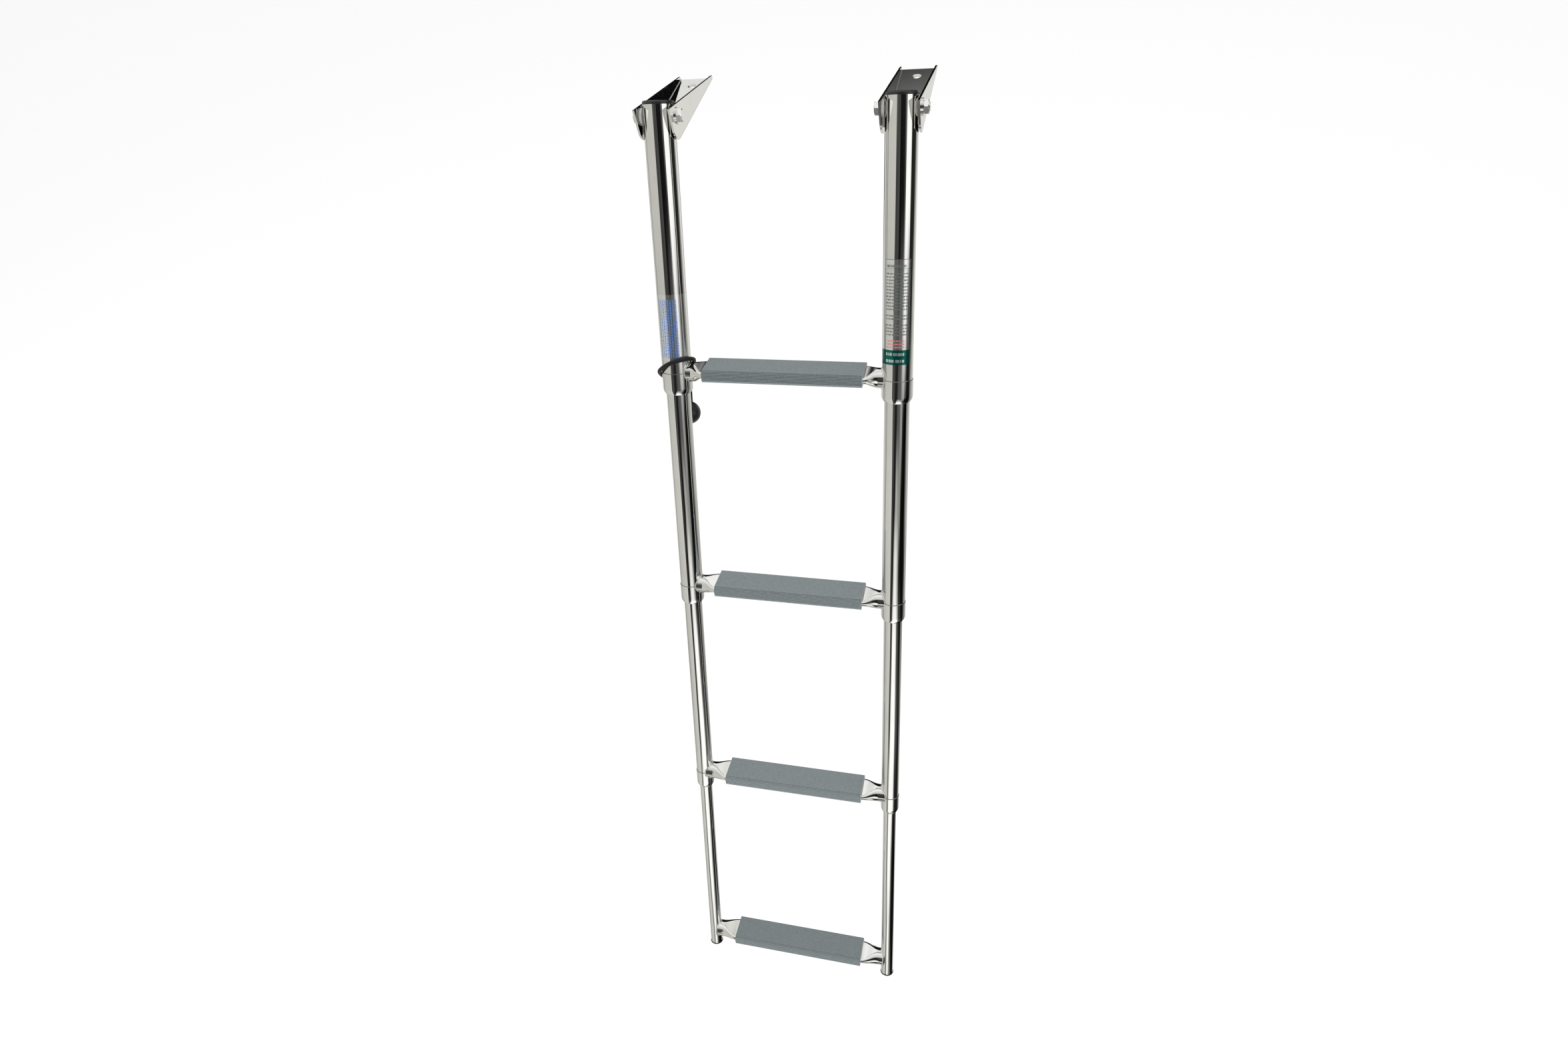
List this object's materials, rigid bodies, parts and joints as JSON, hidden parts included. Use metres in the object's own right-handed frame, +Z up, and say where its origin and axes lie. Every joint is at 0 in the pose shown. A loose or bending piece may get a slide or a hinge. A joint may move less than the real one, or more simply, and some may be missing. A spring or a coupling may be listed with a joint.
{
  "type": "telescoping boat boarding ladder",
  "caption": "Telescoping stainless boarding ladder hung from two hinged deck brackets, with padded steps that slide up into each other and fold over the deck.",
  "frame": {"origin": "centre of the four deck screw holes, on the deck under the two bracket bases", "axes": "+Z up out of the deck, +Y inboard towards the boat (the ladder hangs on the -Y side), +X along the steps; left is -X as seen by a swimmer facing the ladder"},
  "size_m": [0.352, 0.7549, 1.1604],
  "materials": {
    "polished_steel": "mirror-polished stainless steel",
    "tread_pvc": "grey PVC, ribbed on the nose",
    "black_plastic": "satin black moulded plastic",
    "white_nylon": "natural nylon",
    "label_film": "clear film over polished steel",
    "elastic_cord": "black elastic cord",
    "ball_plastic": "black moulded plastic"
  },
  "bodies": {
    "boat_mounts": {"left_bracket": "polished_steel", "right_bracket": "polished_steel", "left_pivot_bolt": "polished_steel", "right_pivot_bolt": "polished_steel", "left_pivot_nut": "polished_steel", "right_pivot_nut": "polished_steel", "pivot_washers": "polished_steel", "pivot_spacers": "white_nylon"},
    "section_1": {"left_tube_1": "polished_steel", "right_tube_1": "polished_steel", "left_collar_1": "polished_steel", "right_collar_1": "polished_steel", "collar_bushes_1": "white_nylon", "step_1_tube": "polished_steel", "step_1_tread": "tread_pvc", "left_top_cap": "black_plastic", "right_top_cap": "black_plastic", "left_label": "label_film", "right_label": "label_film"},
    "section_2": {"left_tube_2": "polished_steel", "right_tube_2": "polished_steel", "left_collar_2": "polished_steel", "right_collar_2": "polished_steel", "guide_bushes_2": "white_nylon", "collar_bushes_2": "white_nylon", "step_2_tube": "polished_steel", "step_2_tread": "tread_pvc"},
    "section_3": {"left_tube_3": "polished_steel", "right_tube_3": "polished_steel", "left_collar_3": "polished_steel", "right_collar_3": "polished_steel", "guide_bushes_3": "white_nylon", "collar_bushes_3": "white_nylon", "step_3_tube": "polished_steel", "step_3_tread": "tread_pvc"},
    "section_4": {"left_tube_4": "polished_steel", "right_tube_4": "polished_steel", "guide_bushes_4": "white_nylon", "step_4_tube": "polished_steel", "step_4_tread": "tread_pvc", "left_foot_plug": "black_plastic", "right_foot_plug": "black_plastic"},
    "retainer": {"retaining_cord": "elastic_cord", "retaining_ball": "ball_plastic"}
  },
  "joints": [
    {"name": "deck_hinge", "type": "hinge", "parent": "boat_mounts", "child": "section_1", "pos_m": [0, -0.085, 0.027], "axis": [-1, 0, 0], "range_deg": [0, 240]},
    {"name": "section_2_slide", "type": "slide", "parent": "section_1", "child": "section_2", "axis": [0, 0.4695, 0.8829], "range_m": [0, 0.2636]},
    {"name": "section_3_slide", "type": "slide", "parent": "section_2", "child": "section_3", "axis": [0, 0.4695, 0.8829], "range_m": [0, 0.2776]},
    {"name": "section_4_slide", "type": "slide", "parent": "section_3", "child": "section_4", "axis": [0, 0.4695, 0.8829], "range_m": [0, 0.2776]},
    {"name": "retainer_slide", "type": "slide", "parent": "section_1", "child": "retainer", "axis": [0, 0.4695, 0.8829], "range_m": [0, 0.15]}
  ]
}
